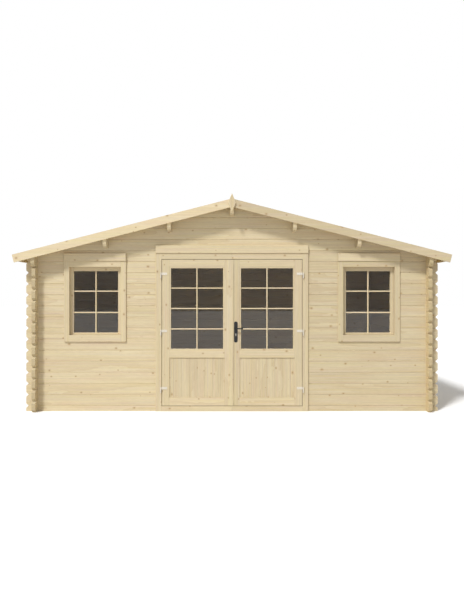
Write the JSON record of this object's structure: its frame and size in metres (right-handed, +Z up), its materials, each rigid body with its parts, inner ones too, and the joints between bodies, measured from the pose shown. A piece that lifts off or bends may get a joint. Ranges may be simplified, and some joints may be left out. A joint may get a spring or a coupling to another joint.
{
  "type": "log cabin",
  "caption": "Log cabin of interlocked planed logs with a low gable roof, glazed double doors that open outwards, barred windows beside them and a boarded floor.",
  "frame": {"origin": "on the ground under the middle of the cabin", "axes": "+X to the right along the front wall, -Y out of the front door, +Z up"},
  "size_m": [5.25, 3.168, 2.6253],
  "materials": {
    "pine": "pale planed pine, untreated, with small knots",
    "boards": "planed tongue and groove boards",
    "glass": "clear pane that looks dark from outside",
    "zinc": "bright zinc plated steel",
    "black_metal": "satin black painted metal"
  },
  "bodies": {
    "root": {"left_wall": "pine", "right_wall": "pine", "left_wall_plate": "pine", "right_wall_plate": "pine", "front_wall_left": "pine", "front_wall_right": "pine", "front_gable": "pine", "back_wall": "pine", "back_gable": "pine", "ridge_purlin": "pine", "upper_purlin_left": "pine", "lower_purlin_left": "pine", "upper_purlin_right": "pine", "lower_purlin_right": "pine", "front_fascia_left": "pine", "back_fascia_left": "pine", "front_fascia_right": "pine", "back_fascia_right": "pine", "ridge_diamonds": "pine", "eave_boards": "pine", "floor_joists": "pine", "door_frame": "pine", "door_casing": "pine", "door_head_board": "pine", "window_head_boards": "pine", "left_window_frame": "pine", "left_window_casing": "pine", "left_window_sash": "pine", "right_window_frame": "pine", "right_window_casing": "pine", "right_window_sash": "pine", "roof_left": "boards", "roof_right": "boards", "floor_boards": "boards", "window_glass": "glass", "frame_hinges": "zinc"},
    "left_leaf": {"left_leaf_frame": "pine", "left_leaf_panel": "boards", "left_leaf_glass": "glass", "left_leaf_hinges": "zinc"},
    "right_leaf": {"right_leaf_frame": "pine", "right_leaf_panel": "boards", "right_leaf_glass": "glass", "right_leaf_hinges": "zinc", "handle_plates": "black_metal"},
    "handle": {"handle_lever": "black_metal"}
  },
  "joints": [
    {"name": "left_leaf_hinge", "type": "hinge", "parent": "root", "child": "left_leaf", "pos_m": [-0.866, -1.437, 0], "axis": [0, 0, -1], "range_deg": [0, 165]},
    {"name": "right_leaf_hinge", "type": "hinge", "parent": "root", "child": "right_leaf", "pos_m": [0.866, -1.437, 0], "axis": [0, 0, 1], "range_deg": [0, 165]},
    {"name": "lever_turn", "type": "hinge", "parent": "right_leaf", "child": "handle", "pos_m": [0.047, -1.407, 1.008], "axis": [0, 1, 0], "range_deg": [0, 40], "stiffness_Nm_per_rad": 0.8, "springref_deg": -28.65}
  ]
}
